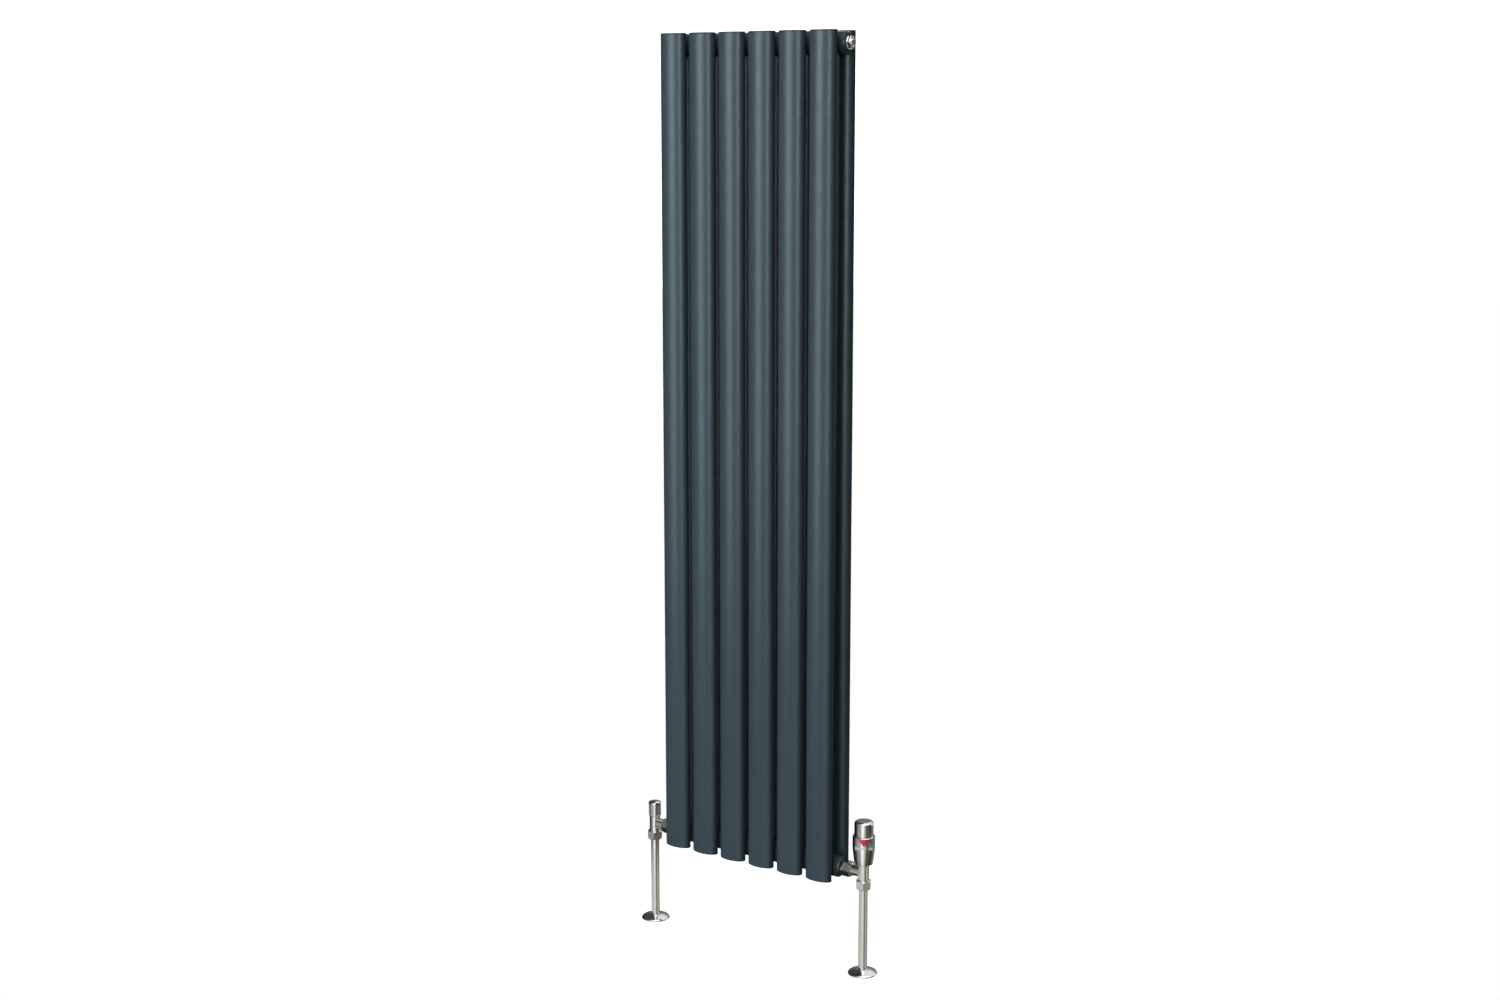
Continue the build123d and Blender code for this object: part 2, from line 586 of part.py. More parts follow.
def make_trv_pin():
    """Stainless pin with the collar that the return spring lifts."""
    with BuildPart() as pin:
        turn(valve_plane(RIGHT), valve_axis(RIGHT), [
            (0, SEAT_Z + 2), (PIN_RADIUS, SEAT_Z + 2), (PIN_RADIUS, SPRING_TOP_Z + 0.1),
            (3.9, SPRING_TOP_Z + 0.1), (3.9, SPRING_TOP_Z + 1.1), (PIN_RADIUS, SPRING_TOP_Z + 1.1),
            (PIN_RADIUS, PIN_TOP_Z - 0.5), (PIN_RADIUS - 0.5, PIN_TOP_Z), (0, PIN_TOP_Z),
        ])
    save(pin, "trv_pin")


def make_trv_disc():
    """Rubber-faced disc that closes on the seat, pushed onto the pin's lower end."""
    bottom = SEAT_Z + DISC_LIFT_AT_REST
    with BuildPart() as disc:
        turn(valve_plane(RIGHT), valve_axis(RIGHT), [
            (0, bottom), (6.2, bottom), (6.2, bottom + 2.4), (3.2, bottom + 3.2), (3.2, bottom + 4.4),
            (PIN_RADIUS, bottom + 4.4), (PIN_RADIUS, SEAT_Z + 2), (0, SEAT_Z + 2),
        ])
    save(disc, "trv_disc")


def make_trv_return_spring():
    """Coil spring that opens the valve when the head lets the pin rise."""
    bottom = SPRING_BOTTOM_Z + SPRING_WIRE_RADIUS
    height = SPRING_TOP_Z - SPRING_BOTTOM_Z - 2 * SPRING_WIRE_RADIUS
    with BuildPart() as spring:
        with BuildLine(level(RIGHT, bottom)) as coil:
            Helix(pitch=height / SPRING_TURNS, height=height, radius=SPRING_RADIUS)
        with BuildSketch(Plane(origin=coil.line @ 0, z_dir=coil.line % 0)):
            Circle(SPRING_WIRE_RADIUS)
        sweep(path=coil.line, is_frenet=True)
    save(spring, "trv_return_spring")


# ---------------------------------------------------------------- thermostatic head

def make_trv_ring_nut():
    """Captive ring that screws the head onto the insert."""
    with BuildPart() as ring:
        turn(valve_plane(RIGHT), valve_axis(RIGHT), [
            (10.95, 17), (13.2, 17), (13.2, 31), (9.1, 31), (9.1, 28.3), (10.95, 28.3),
        ])
        with BuildSketch(level(RIGHT, 17)):
            with PolarLocations(13.6, 24):
                Circle(0.8)
        extrude(amount=14, mode=Mode.SUBTRACT)
    save(ring, "trv_ring_nut")


def mark_outline():
    """Plane facing out of the sleeve where the index mark sits."""
    angle = math.radians(MARK_AZIMUTH)
    return Plane(origin=(VALVE_X, HEADER_Y, HEADER_BOTTOM_Z), x_dir=(math.cos(angle), math.sin(angle), 0),
                 z_dir=(math.sin(angle), -math.cos(angle), 0))


def cut_index_mark(inner_radius, outer_radius, mode):
    """Triangle with its point down, as a thin curved slab in the sleeve's surface."""
    top = SLEEVE_TOP_Z - 1.5
    with BuildPart(mode=Mode.PRIVATE) as slab:
        with BuildSketch(mark_outline()) as outline:
            with BuildLine():
                Polyline((-MARK_WIDTH / 2, top), (MARK_WIDTH / 2, top), (0, top - MARK_HEIGHT), close=True)
            make_face()
        extrude(outline.sketch, amount=SLEEVE_RADIUS + 5)
        with BuildSketch(level(RIGHT, 0)) as shell:
            Circle(outer_radius)
            Circle(inner_radius, mode=Mode.SUBTRACT)
        extrude(shell.sketch, amount=SLEEVE_TOP_Z, mode=Mode.INTERSECT)
    add(slab.part, mode=mode)


def make_trv_sleeve():
    """Chromed lower shell of the head, which stays still and carries the index mark."""
    foot = SLEEVE_FOOT_RADIUS
    inner_foot = foot - SLEEVE_WALL
    rim = HEAD_CAP_RADIUS + 0.5
    belly_z = SLEEVE_BOTTOM_Z + 33
    with BuildPart() as sleeve:
        with BuildSketch(valve_plane(RIGHT)) as outline:
            with BuildLine():
                Line((inner_foot, SLEEVE_BOTTOM_Z), (foot, SLEEVE_BOTTOM_Z))
                Spline((foot, SLEEVE_BOTTOM_Z), (SLEEVE_RADIUS - 1.2, SLEEVE_BOTTOM_Z + 17),
                       (SLEEVE_RADIUS, belly_z), tangents=[(0.22, 1), (0, 1)])
                Polyline((SLEEVE_RADIUS, belly_z), (SLEEVE_RADIUS, SLEEVE_TOP_Z - 0.8),
                         (SLEEVE_RADIUS - 0.8, SLEEVE_TOP_Z), (rim, SLEEVE_TOP_Z), (rim, 50), (15.6, 34),
                         (3.6, 34), (3.6, 32), (7.5, 32), (7.5, 26.1), (10.5, 26.1), (10.5, 28.2),
                         (8.9, 28.2), (8.9, 32), (14.6, 32), (inner_foot, SLEEVE_BOTTOM_Z))
            make_face()
        revolve(outline.sketch, axis=valve_axis(RIGHT))
        cut_index_mark(SLEEVE_RADIUS - MARK_DEPTH, SLEEVE_RADIUS + 1, Mode.SUBTRACT)
    save(sleeve, "trv_sleeve")


def make_trv_index_mark():
    """Red inlay that fills the sleeve's triangular pocket."""
    with BuildPart() as mark:
        cut_index_mark(SLEEVE_RADIUS - MARK_DEPTH, SLEEVE_RADIUS - 0.1, Mode.ADD)
    save(mark, "trv_index_mark")


def make_trv_cap():
    """Turning cap of the head; its inner skirt is the nut that moves the sensor."""
    radius = HEAD_CAP_RADIUS
    inner = radius - HEAD_CAP_WALL
    ceiling = HEAD_CAP_TOP_Z - HEAD_CAP_WALL
    edge_z = HEAD_CAP_TOP_Z - HEAD_CAP_EDGE
    with BuildPart() as cap:
        with BuildSketch(valve_plane(RIGHT)) as outline:
            with BuildLine():
                Polyline((inner, HEAD_CAP_BOTTOM_Z), (radius, HEAD_CAP_BOTTOM_Z), (radius, edge_z))
                TangentArc((radius, edge_z), (radius - HEAD_CAP_EDGE, HEAD_CAP_TOP_Z), tangent=(0, 1))
                Polyline((radius - HEAD_CAP_EDGE, HEAD_CAP_TOP_Z), (0, HEAD_CAP_TOP_Z), (0, ceiling),
                         (10, ceiling), (10, 58), (11.6, 58), (11.6, ceiling), (inner - 2, ceiling),
                         (inner, ceiling - 2), (inner, HEAD_CAP_BOTTOM_Z))
            make_face()
        revolve(outline.sketch, axis=valve_axis(RIGHT))
    save(cap, "trv_cap")


def make_trv_sensor():
    """Sealed wax capsule that screws up and down inside the cap's skirt."""
    with BuildPart() as sensor:
        turn(valve_plane(RIGHT), valve_axis(RIGHT), [
            (0, 44), (5, 44), (9, 46), (9, 60), (9.9, 60.5), (9.9, 70), (9, 70.5), (9, 80), (7, 82), (0, 82),
        ])
    save(sensor, "trv_sensor")


def make_trv_plunger():
    """Plunger between the capsule and the valve's pin."""
    with BuildPart() as plunger:
        turn(valve_plane(RIGHT), valve_axis(RIGHT), [
            (0, PIN_TOP_Z + 0.1), (2.9, PIN_TOP_Z + 0.1), (2.9, 40), (4.5, 40.5), (4.5, 44), (0, 44),
        ])
    save(plunger, "trv_plunger")


# ---------------------------------------------------------------- lockshield

def make_lockshield_insert():
    """Brass insert that guides the spindle; the cap pushes onto its neck."""
    spindle_hole = SPINDLE_RADIUS + THREAD_CLEARANCE
    with BuildPart() as insert:
        turn(valve_plane(LEFT), valve_axis(LEFT), [
            (spindle_hole, 7), (CHAMBER_RADIUS - THREAD_CLEARANCE, 7),
            (CHAMBER_RADIUS - THREAD_CLEARANCE, VALVE_TOP_Z), (8, VALVE_TOP_Z), (8, 21), (7, 22),
            (spindle_hole, 22),
        ])
    save(insert, "lockshield_insert")


def make_lockshield_spindle():
    """Threaded spindle with a square top, which sets the flow once."""
    with BuildPart() as spindle:
        turn(valve_plane(LEFT), valve_axis(LEFT), [
            (0, -2.9), (SPINDLE_FOOT_RADIUS, -2.9), (SPINDLE_FOOT_RADIUS, 2), (SPINDLE_RADIUS, 2),
            (SPINDLE_RADIUS, 27), (0, 27),
        ])
        prism(level(LEFT, 27), 5.5, 4, SPINDLE_TOP_Z - 27)
    save(spindle, "lockshield_spindle")


def make_lockshield_disc():
    """Closing disc that swivels on the spindle's foot."""
    bottom = SEAT_Z + 1
    with BuildPart() as disc:
        turn(valve_plane(LEFT), valve_axis(LEFT), [
            (0, bottom), (6.2, bottom), (6.2, -2.5), (4.2, -2), (4.2, 1.8),
            (SPINDLE_FOOT_RADIUS + THREAD_CLEARANCE, 1.8), (SPINDLE_FOOT_RADIUS + THREAD_CLEARANCE, -3),
            (0, -3),
        ])
    save(disc, "lockshield_disc")


def make_lockshield_cap():
    """Ribbed chrome cap that pulls off to reach the spindle."""
    shoulder = SHIELD_TOP_Z - 4
    with BuildPart() as cap:
        with BuildSketch(valve_plane(LEFT)) as outline:
            with BuildLine():
                Polyline((8.05, SHIELD_BOTTOM_Z), (SHIELD_RADIUS, SHIELD_BOTTOM_Z), (SHIELD_RADIUS, shoulder))
                Spline((SHIELD_RADIUS, shoulder), (SHIELD_RADIUS - 2.4, SHIELD_TOP_Z - 1.2), (0, SHIELD_TOP_Z),
                       tangents=[(0, 1), (-1, 0)])
                Polyline((0, SHIELD_TOP_Z), (0, SHIELD_TOP_Z - 2), (6, SHIELD_TOP_Z - 2.6), (8.8, shoulder - 1),
                         (8.8, 23), (8.05, 22), (8.05, SHIELD_BOTTOM_Z))
            make_face()
        revolve(outline.sketch, axis=valve_axis(LEFT))
        with BuildSketch(level(LEFT, SHIELD_BOTTOM_Z - 1)) as grooves:
            with PolarLocations(SHIELD_RADIUS + 0.35, SHIELD_RIBS):
                Circle(0.9)
        extrude(grooves.sketch, amount=shoulder - SHIELD_BOTTOM_Z - 1, mode=Mode.SUBTRACT)
    save(cap, "lockshield_cap")


# ---------------------------------------------------------------- build everything

os.makedirs("parts", exist_ok=True)

for row, row_y in (("front", FRONT_Y), ("rear", REAR_Y)):
    for number, column_x in enumerate(COLUMN_XS, start=1):
        make_column(f"{row}_column_{number}", column_x, row_y)
    make_column_caps(f"{row}_top_caps", row_y, TOP_Z - CAP_THICKNESS, TOP_Z)
    make_column_caps(f"{row}_bottom_caps", row_y, BOTTOM_Z, BOTTOM_Z)

make_header("top_header", HEADER_TOP_Z)
make_header("bottom_header", HEADER_BOTTOM_Z)
make_header_end_bosses()
make_flow_diverter()

bracket_places = []
for height_name, place_z in (("top", BRACKET_Z), ("bottom", -BRACKET_Z)):
    for side_name, place_x in (("left", -BRACKET_X), ("right", BRACKET_X)):
        make_hanging_lug(f"hanging_lug_{height_name}_{side_name}", place_x, place_z)
        make_wall_bracket(f"wall_bracket_{height_name}_{side_name}", place_x, place_z)
        bracket_places.append((place_x, place_z))
make_bracket_hook_bolts(bracket_places)
make_bracket_washers(bracket_places)

make_plug_seals()
make_vent_plug()
make_bleed_screw()
make_blanking_plug()

make_valve_body("trv_body", RIGHT)
make_valve_body("lockshield_body", LEFT)
make_valve_tails()
make_union_nuts()
make_compression_nuts()
make_olives()
make_pipe("right_pipe", RIGHT)
make_pipe("left_pipe", LEFT)
make_floor_collar("right_floor_collar", RIGHT)
make_floor_collar("left_floor_collar", LEFT)

make_trv_insert()
make_trv_gland()
make_trv_pin()
make_trv_disc()
make_trv_return_spring()
make_trv_ring_nut()
make_trv_sleeve()
make_trv_index_mark()
make_trv_cap()
make_trv_sensor()
make_trv_plunger()

make_lockshield_insert()
make_lockshield_spindle()
make_lockshield_disc()
make_lockshield_cap()
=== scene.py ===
"""Looks of the column radiator: its materials, the weld beads at the headers, the studio and the camera.

Metres, in the frame's own axes: +X to the thermostatic valve, +Y into the wall, +Z up. Azimuths are in
degrees from -Y toward +X.
"""
import json
import math
import random

import bmesh
import bpy
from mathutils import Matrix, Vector


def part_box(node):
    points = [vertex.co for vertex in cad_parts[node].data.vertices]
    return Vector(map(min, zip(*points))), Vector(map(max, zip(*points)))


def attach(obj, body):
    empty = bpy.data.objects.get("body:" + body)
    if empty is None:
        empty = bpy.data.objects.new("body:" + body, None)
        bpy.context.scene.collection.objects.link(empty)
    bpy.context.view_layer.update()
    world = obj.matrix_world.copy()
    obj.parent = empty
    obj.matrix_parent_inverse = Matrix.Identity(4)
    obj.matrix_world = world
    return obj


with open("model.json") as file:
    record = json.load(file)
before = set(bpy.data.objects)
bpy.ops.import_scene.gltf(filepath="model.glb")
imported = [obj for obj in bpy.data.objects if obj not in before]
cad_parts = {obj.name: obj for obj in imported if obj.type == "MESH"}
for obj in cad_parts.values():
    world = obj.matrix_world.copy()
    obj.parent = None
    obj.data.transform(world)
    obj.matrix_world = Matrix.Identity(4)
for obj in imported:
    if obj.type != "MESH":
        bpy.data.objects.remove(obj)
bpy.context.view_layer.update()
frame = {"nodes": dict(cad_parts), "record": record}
nodes = frame["nodes"]
slots = {part["node"]: part["material_slot"] for part in frame["record"]["subparts"]}
scene = bpy.context.scene
MM = 0.001

# The camera
CAMERA_PLACE = (2.0002, -2.9429, 0.5732)
CAMERA_YAW = 35.0
CAMERA_PITCH = 10.4
CAMERA_LENS = 50.8
SENSOR_WIDTH = 36.0

# The radiator's columns, as in the CAD model
COLUMN_COUNT = 6
COLUMN_PITCH = 59 * MM
COLUMN_WIDTH = 50 * MM
COLUMN_DEPTH = 25 * MM
ROW_OFFSET = 26.5 * MM
COLUMN_XS = [(k - (COLUMN_COUNT - 1) / 2) * COLUMN_PITCH for k in range(COLUMN_COUNT)]

# The frame's own measures
FLOOR_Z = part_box("right_floor_collar")[0].z
HEADER_LOW, HEADER_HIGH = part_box("top_header")
HEADER_RADIUS = (HEADER_HIGH.z - HEADER_LOW.z) / 2
HEADER_Y = (HEADER_LOW.y + HEADER_HIGH.y) / 2
HEADER_ZS = [(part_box(name)[0].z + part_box(name)[1].z) / 2 for name in ("top_header", "bottom_header")]

# The weld beads
WELD_RADIUS = 1.3 * MM
WELD_RIPPLE = 0.12
RIPPLE_STEP = 1.7
BEAD_SIDES = 8
BEAD_RINGS = 64


# ---------------------------------------------------------------- shader helpers

# The part of a noise's value that most of it lies in
NOISE_START = 0.3
NOISE_END = 0.7


class Nodes:
    """A node tree, with short ways to add what the materials and the world share."""

    def __init__(self, tree):
        self.tree = tree

    def add(self, kind, **settings):
        made = self.tree.nodes.new(kind)
        for name, value in settings.items():
            setattr(made, name, value)
        return made

    def feed(self, socket, value):
        """Link an output to a socket, or give the socket its own value."""
        if isinstance(value, bpy.types.NodeSocket):
            self.tree.links.new(value, socket)
        else:
            socket.default_value = value

    def span(self, value, low, high, start=NOISE_START, end=NOISE_END):
        """Map start..end of a value to low..high."""
        made = self.add("ShaderNodeMapRange")
        self.feed(made.inputs["Value"], value)
        for name, setting in (("From Min", start), ("From Max", end), ("To Min", low), ("To Max", high)):
            self.feed(made.inputs[name], setting)
        return made.outputs["Result"]

    def ramp(self, value, stops, interpolation="LINEAR"):
        """Colour stops along a value; a stop's colour is a grey or (red, green, blue)."""
        made = self.add("ShaderNodeValToRGB")
        made.color_ramp.interpolation = interpolation
        elements = made.color_ramp.elements
        while len(elements) < len(stops):
            elements.new(0.5)
        for element, (position, colour) in zip(elements, stops):
            element.position = position
            element.color = (*colour, 1) if isinstance(colour, tuple) else (colour, colour, colour, 1)
        self.feed(made.inputs["Fac"], value)
        return made.outputs["Color"]

    def mixed(self, factor, first, second, blend="MIX"):
        made = self.add("ShaderNodeMix", data_type="RGBA", blend_type=blend)
        self.feed(made.inputs["Factor"], factor)
        self.feed(made.inputs["A"], first)
        self.feed(made.inputs["B"], second)
        return made.outputs["Result"]


class Shader(Nodes):
    """A new material, with short ways to add the textures that the materials here share."""

    def __init__(self, name):
        self.material = bpy.data.materials.new(name)
        self.material.use_nodes = True
        super().__init__(self.material.node_tree)
        self.surface = self.tree.nodes["Principled BSDF"]
        self.place = self.add("ShaderNodeTexCoord").outputs["Object"]

    def set(self, **values):
        """Feed the surface's sockets; an underscore in a name stands for a space."""
        for name, value in values.items():
            self.feed(self.surface.inputs[name.replace("_", " ")], value)

    def noise(self, scale, detail=2.0, roughness=0.5, stretch=(1.0, 1.0, 1.0)):
        """A noise's value; scale is features per metre, before the stretch along each axis."""
        mapping = self.add("ShaderNodeMapping")
        self.feed(mapping.inputs["Vector"], self.place)
        self.feed(mapping.inputs["Scale"], stretch)
        texture = self.add("ShaderNodeTexNoise")
        self.feed(texture.inputs["Vector"], mapping.outputs["Vector"])
        self.feed(texture.inputs["Scale"], scale)
        self.feed(texture.inputs["Detail"], detail)
        self.feed(texture.inputs["Roughness"], roughness)
        return texture.outputs["Fac"]

    def tones(self, value, dark, light, start=NOISE_START, end=NOISE_END):
        """A colour that goes from dark to light over start..end of a value."""
        return self.ramp(value, [(start, dark), (end, light)])

    def bump(self, value, strength, distance, normal=None):
        made = self.add("ShaderNodeBump")
        self.feed(made.inputs["Height"], value)
        self.feed(made.inputs["Strength"], strength)
        self.feed(made.inputs["Distance"], distance)
        if normal is not None:
            self.feed(made.inputs["Normal"], normal)
        return made.outputs["Normal"]


# ---------------------------------------------------------------- materials

def shaded(colour, share):
    """A colour at a share of its brightness."""
    return tuple(channel * share for channel in colour)


def powder_coat(name, dark, light, roughness):
    """Satin powder coat: a fine orange peel with slight changes of tone and gloss."""
    s = Shader(name)
    tone = s.noise(scale=7.0, detail=4.0, roughness=0.6)
    gloss = s.noise(scale=60.0, detail=3.0)
    peel = s.bump(s.noise(scale=700.0), strength=0.16, distance=0.4 * MM)
    grain = s.bump(s.noise(scale=2600.0, detail=1.0), strength=0.08, distance=0.15 * MM, normal=peel)
    s.set(Base_Color=s.tones(tone, dark, light), Normal=grain,
          Roughness=s.span(gloss, low=roughness - 0.03, high=roughness + 0.04),
          Specular_IOR_Level=0.35, Specular_Tint=(0.74, 0.96, 1.0, 1.0))
    return s.material


def chrome(name, colour, roughness):
    """Polished plate: faint waviness under the plating, and smudges that dull it here and there."""
    s = Shader(name)
    cloud = s.noise(scale=35.0, detail=4.0, roughness=0.6)
    smudges = s.noise(scale=90.0, detail=4.0, roughness=0.65)
    waves = s.noise(scale=120.0, detail=1.0)
    s.set(Metallic=1.0, Base_Color=s.tones(cloud, shaded(colour, 0.93), colour, start=0.35, end=0.65),
          Roughness=s.span(smudges, low=roughness, high=roughness + 0.05),
          Normal=s.bump(waves, strength=0.03, distance=0.3 * MM))
    return s.material


def turned_metal(name, colour, roughness):
    """Machined metal with fine level tool marks."""
    s = Shader(name)
    marks = s.noise(scale=260.0, detail=3.0, roughness=0.6, stretch=(0.15, 0.15, 14.0))
    s.set(Metallic=1.0, Base_Color=s.tones(marks, shaded(colour, 0.8), colour),
          Roughness=s.span(marks, low=roughness - 0.05, high=roughness + 0.08),
          Normal=s.bump(marks, strength=0.12, distance=0.2 * MM))
    return s.material


def moulded(name, dark, light, roughness, grain):
    """Moulded plastic or rubber; grain is the strength of its fine texture."""
    s = Shader(name)
    tone = s.noise(scale=50.0, detail=3.0)
    gloss = s.noise(scale=160.0)
    s.set(Base_Color=s.tones(tone, dark, light),
          Roughness=s.span(gloss, low=roughness - 0.05, high=roughness + 0.05),
          Normal=s.bump(s.noise(scale=1800.0), strength=grain, distance=0.2 * MM))
    return s.material


# Each slot's recipe, its colour or its dark and light colours, its roughness, and a moulding's grain
RECIPES = {
    "anthracite_paint": (powder_coat, (0.0165, 0.0262, 0.0338), (0.0182, 0.0286, 0.0370), 0.32),
    "bracket_steel": (powder_coat, (0.05, 0.056, 0.062), (0.06, 0.068, 0.074), 0.42),
    "inner_steel": (turned_metal, (0.36, 0.35, 0.34), 0.45),
    "nylon": (moulded, (0.62, 0.61, 0.57), (0.7, 0.69, 0.65), 0.5, 0.1),
    "rubber": (moulded, (0.012, 0.012, 0.013), (0.02, 0.02, 0.021), 0.62, 0.25),
    "brass": (turned_metal, (0.78, 0.56, 0.26), 0.26),
    "sensor_brass": (turned_metal, (0.62, 0.46, 0.22), 0.38),
    "stainless_steel": (turned_metal, (0.62, 0.62, 0.61), 0.25),
    "black_plastic": (moulded, (0.018, 0.018, 0.019), (0.028, 0.028, 0.03), 0.42, 0.15),
    "red_plastic": (moulded, (0.26, 0.014, 0.04), (0.31, 0.02, 0.05), 0.22, 0.05),
    "chrome": (chrome, (0.84, 0.84, 0.83), 0.02),
}
materials = {slot: recipe(slot, *values) for slot, (recipe, *values) in RECIPES.items()}

for name, part in nodes.items():
    for material_slot in part.material_slots:
        material_slot.material = materials[slots[name]]


# ---------------------------------------------------------------- weld beads

def bead_mesh(mesh, path, seed):
    """Sweep a round bead along a closed path of points, with the slight ripple of a weld."""
    rng = random.Random(seed)
    count = len(path)
    rings = []
    for k, point in enumerate(path):
        along = (path[(k + 1) % count] - path[(k - 1) % count]).normalized()
        out = along.orthogonal().normalized()
        side = along.cross(out)
        size = WELD_RADIUS * (1 + WELD_RIPPLE * (math.sin(k * RIPPLE_STEP) + rng.uniform(-0.5, 0.5)))
        rings.append([mesh.verts.new(point + size * (math.cos(a) * out + math.sin(a) * side))
                      for a in (2 * math.pi * n / BEAD_SIDES for n in range(BEAD_SIDES))])
    for k in range(count):
        here, there = rings[k], rings[(k + 1) % count]
        shift = min(range(BEAD_SIDES), key=lambda n: (there[n].co - here[0].co).length)
        for n in range(BEAD_SIDES):
            mesh.faces.new((here[n], here[(n + 1) % BEAD_SIDES],
                            there[(n + 1 + shift) % BEAD_SIDES], there[(n + shift) % BEAD_SIDES]))


def finish_piece(mesh, name, slot):
    """Turn a bmesh into an object with its material, riding on the radiator."""
    bmesh.ops.recalc_face_normals(mesh, faces=mesh.faces)
    data = bpy.data.meshes.new(name)
    mesh.to_mesh(data)
    mesh.free()
    for polygon in data.polygons:
        polygon.use_smooth = True
    data.materials.append(materials[slot])
    piece = bpy.data.objects.new(name, data)
    scene.collection.objects.link(piece)
    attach(piece, "radiator")


def saddle(x, header_z, row):
    """The closed line where a column's inner face meets a header; row is -1 in front, 1 behind."""
    reach = COLUMN_WIDTH / 2 * math.sqrt(1 - ((ROW_OFFSET - HEADER_RADIUS) / (COLUMN_DEPTH / 2)) ** 2)
    points = []
    for k in range(BEAD_RINGS):
        turn = 2 * math.pi * k / BEAD_RINGS
        dx = reach * math.cos(turn)
        dy = ROW_OFFSET - COLUMN_DEPTH / 2 * math.sqrt(1 - (2 * dx / COLUMN_WIDTH) ** 2)
        dz = math.copysign(math.sqrt(max(HEADER_RADIUS ** 2 - dy ** 2, 0)), math.sin(turn))
        points.append(Vector((x + dx, HEADER_Y + row * dy, header_z + dz)))
    return points


def make_column_welds():
    """A bead round every column where it meets a header."""
    for header_z, place in zip(HEADER_ZS, ("top", "bottom")):
        for row, side in ((-1, "front"), (1, "rear")):
            mesh = bmesh.new()
            for k, x in enumerate(COLUMN_XS):
                bead_mesh(mesh, saddle(x, header_z, row), seed=k)
            finish_piece(mesh, f"weld_{side}_{place}", "anthracite_paint")


make_column_welds()


# ---------------------------------------------------------------- floor, light and camera

WHITE = (1.0, 1.0, 1.0, 1.0)

# The white backdrop's share in the floor's shade, near the radiator and further out
FLOOR_RADIUS = 14.0
BACKDROP_SHARES = (0.55, 1.0)
BACKDROP_DISTANCES = (0.28, 0.62)

# What polished parts mirror, by azimuth: the walls, a band of them low down, and the ceiling
WORLD_STRENGTH = 1.6
MIRRORED_WALLS = [(-180, 0.16), (-150, 0.12), (-118, 0.02), (-58, 0.03), (-40, 0.20), (-12, 0.27),
                  (-2, 0.34), (8, (0.85, 0.84, 0.81)), (26, (0.80, 0.78, 0.74)), (36, (0.42, 0.40, 0.34)),
                  (50, (0.34, 0.32, 0.27)), (60, (0.05, 0.045, 0.035)), (82, (0.08, 0.075, 0.055)),
                  (96, (0.05, 0.045, 0.035)), (115, 0.02), (150, 0.12), (180, 0.16)]
MIRRORED_LOW = [(-180, 0.16), (-140, 0.10), (-112, 0.18), (-70, 0.34), (-20, 0.38), (24, (0.52, 0.49, 0.42)),
                (46, (0.36, 0.34, 0.28)), (60, (0.12, 0.11, 0.08)), (82, (0.14, 0.13, 0.10)),
                (100, (0.34, 0.33, 0.31)), (150, 0.12), (180, 0.16)]
MIRRORED_CEILING = [(-180, 0.56), (-156, 0.54), (-140, 0.04), (-40, 0.04), (-10, 0.5), (30, 0.9), (60, 1.1),
                    (105, 1.0), (130, 0.56), (180, 0.56)]
# The walls' shares of that by height, from straight down (0) to straight up (1)
MIRRORED_HEIGHTS = [(0.0, 0.5), (0.3, 0.9), (0.5, 1.0), (0.8, 0.8), (1.0, 0.5)]
# Where the low band ends at its foot and at its top, and where the ceiling begins, as heights from -1 to 1
LOW_FOOT = (-0.43, -0.40)
LOW_TOP = (-0.348, -0.332)
CEILING_EDGE = (0.3, 0.65)
# What lights the matt surfaces, by azimuth and by height
LIT_WALLS = [(-180, 0.45), (-150, 0.4), (-118, 0.03), (-60, 0.65), (-25, 1.05), (12, 1.0), (28, 0.3),
             (60, 0.04), (130, 0.06), (155, 0.35), (180, 0.45)]
LIT_HEIGHTS = [(0.0, 0.6), (0.5, 0.75), (0.7, 1.0), (0.85, 3.0), (1.0, 8.0)]

# The softboxes' azimuths, distances, heights of the middle, widths and heights, and radiances
PAINT_LIGHTS = {
    "key": (-28, 2.6, 1.35, (1.0, 1.7), 8.0),
    "key_low": (-28, 2.6, -0.1, (1.0, 1.2), 4.6),
    "fill": (20, 4.3, 1.5, (0.9, 2.0), 9.0),
    "fill_low": (20, 4.3, -0.1, (0.9, 1.2), 5.0),
    "back": (-158, 3.2, 0.9, (1.3, 2.2), 5.0),
}
CHROME_LIGHTS = {
    "card": (142, 3.0, -0.35, (2.2, 2.1), 0.75),
}


def make_floor():
    """A wide pale floor that meets the lowest collar and fades into the white backdrop."""
    bpy.ops.mesh.primitive_circle_add(vertices=96, radius=FLOOR_RADIUS, fill_type="NGON",
                                      location=(0, 0, FLOOR_Z))
    floor = bpy.context.object
    floor.name = "floor"
    s = Shader("floor")
    tone = s.noise(scale=3.0, detail=3.0)
    s.set(Base_Color=s.tones(tone, dark=(0.90, 0.90, 0.90), light=(0.92, 0.92, 0.92)),
          Roughness=0.95, Specular_IOR_Level=0.1)
    distance = s.add("ShaderNodeVectorMath", operation="LENGTH")
    s.feed(distance.inputs[0], s.place)
    fade = s.add("ShaderNodeMixShader")
    s.feed(fade.inputs["Fac"], s.span(distance.outputs["Value"], *BACKDROP_SHARES, *BACKDROP_DISTANCES))
    s.feed(fade.inputs[1], s.surface.outputs["BSDF"])
    s.feed(fade.inputs[2], s.add("ShaderNodeEmission").outputs["Emission"])
    s.feed(s.tree.nodes["Material Output"].inputs["Surface"], fade.outputs["Shader"])
    floor.data.materials.append(s.material)
    floor.visible_glossy = False
    floor.visible_diffuse = False
    return floor


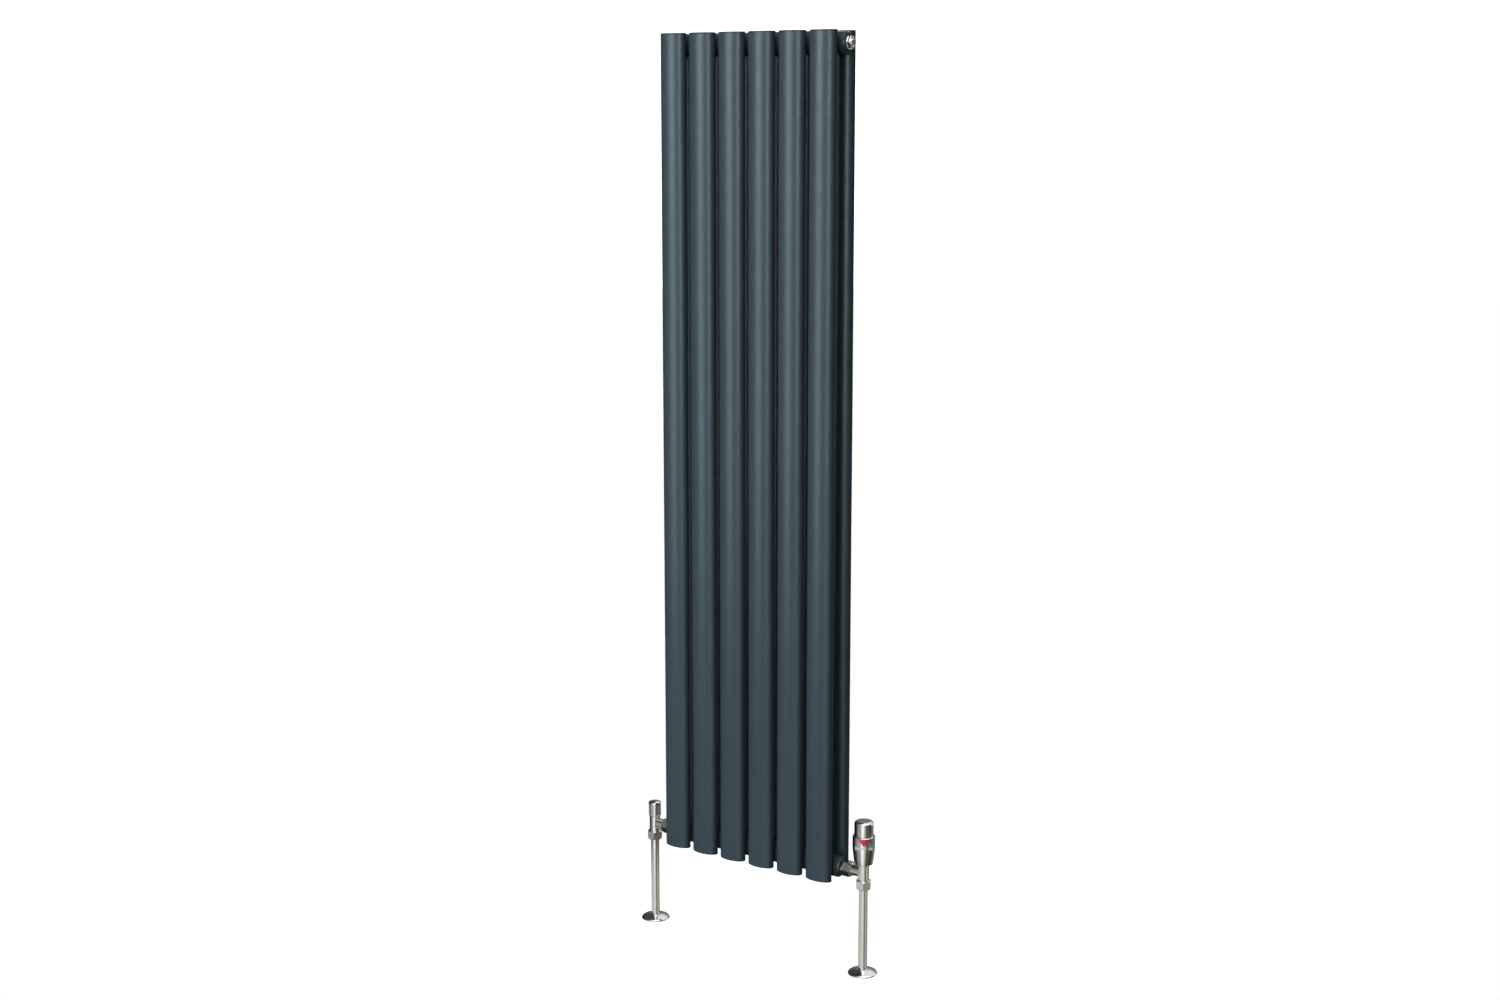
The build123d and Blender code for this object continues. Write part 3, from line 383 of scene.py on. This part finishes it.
def make_world():
    """Studio surroundings: a white backdrop, soft light from above, and grey and dark walls to mirror."""
    world = bpy.data.worlds.new("studio")
    scene.world = world
    world.use_nodes = True
    w = Nodes(world.node_tree)

    axes = w.add("ShaderNodeSeparateXYZ")
    w.feed(axes.inputs["Vector"], w.add("ShaderNodeTexCoord").outputs["Generated"])
    away = w.add("ShaderNodeMath", operation="MULTIPLY")
    w.feed(away.inputs[0], axes.outputs["Y"])
    w.feed(away.inputs[1], -1.0)
    azimuth = w.add("ShaderNodeMath", operation="ARCTAN2")
    w.feed(azimuth.inputs[0], axes.outputs["X"])
    w.feed(azimuth.inputs[1], away.outputs["Value"])
    around = w.span(azimuth.outputs["Value"], 0.0, 1.0, -math.pi, math.pi)
    up = axes.outputs["Z"]
    upward = w.span(up, 0.0, 1.0, -1.0, 1.0)

    def by_azimuth(stops):
        return w.ramp(around, [((turn + 180) / 360, colour) for turn, colour in stops], "EASE")

    def by_height(stops):
        return w.ramp(upward, stops, "EASE")

    walls = w.mixed(1.0, by_azimuth(MIRRORED_WALLS), by_height(MIRRORED_HEIGHTS), "MULTIPLY")
    mirrored = w.mixed(w.span(up, 1.0, 0.0, *LOW_TOP), walls, by_azimuth(MIRRORED_LOW))
    mirrored = w.mixed(w.span(up, 1.0, 0.0, *LOW_FOOT), mirrored, walls)
    mirrored = w.mixed(w.span(up, 0.0, 1.0, *CEILING_EDGE), mirrored, by_azimuth(MIRRORED_CEILING))
    lit = w.mixed(1.0, by_azimuth(LIT_WALLS), by_height(LIT_HEIGHTS), "MULTIPLY")
    ray = w.add("ShaderNodeLightPath").outputs
    seen = w.mixed(ray["Is Diffuse Ray"], mirrored, lit)
    seen = w.mixed(ray["Is Camera Ray"], seen, WHITE)
    background = w.tree.nodes["Background"]
    w.feed(background.inputs["Color"], seen)
    w.feed(background.inputs["Strength"], WORLD_STRENGTH)


def make_camera():
    data = bpy.data.cameras.new("camera")
    data.lens = CAMERA_LENS
    data.sensor_width = SENSOR_WIDTH
    camera = bpy.data.objects.new("camera", data)
    camera.location = CAMERA_PLACE
    camera.rotation_euler = (math.radians(90 - CAMERA_PITCH), 0, math.radians(CAMERA_YAW))
    scene.collection.objects.link(camera)
    scene.camera = camera


def light_group(name, members, state):
    """A collection whose members a light excludes, or lights alone."""
    group = bpy.data.collections.new(name)
    for member in members:
        group.objects.link(member)
    for child in group.collection_objects:
        child.light_linking.link_state = state
    return group


def add_softboxes(lights, group):
    """Soft lights that face the radiator and light only what their group allows."""
    for name, (azimuth, distance, height, (width, tall), radiance) in lights.items():
        data = bpy.data.lights.new(name, "AREA")
        data.shape = "RECTANGLE"
        data.size = width
        data.size_y = tall
        data.energy = math.pi * width * tall * radiance
        light = bpy.data.objects.new(name, data)
        turn = math.radians(azimuth)
        light.location = (distance * math.sin(turn), HEADER_Y - distance * math.cos(turn), height)
        facing = Vector((0, HEADER_Y, height)) - light.location
        light.rotation_euler = facing.to_track_quat("-Z", "Y").to_euler()
        light.visible_camera = False
        light.light_linking.receiver_collection = group
        scene.collection.objects.link(light)


floor = make_floor()
make_world()
make_camera()

# The softboxes light the paint, and polished parts mirror a pale card behind the radiator instead
chromed = [part for name, part in nodes.items() if slots[name] == "chrome"]
add_softboxes(PAINT_LIGHTS, light_group("not_chrome_or_floor", chromed + [floor], "EXCLUDE"))
add_softboxes(CHROME_LIGHTS, light_group("chrome_only", chromed, "INCLUDE"))
scene.view_settings.view_transform = "Standard"
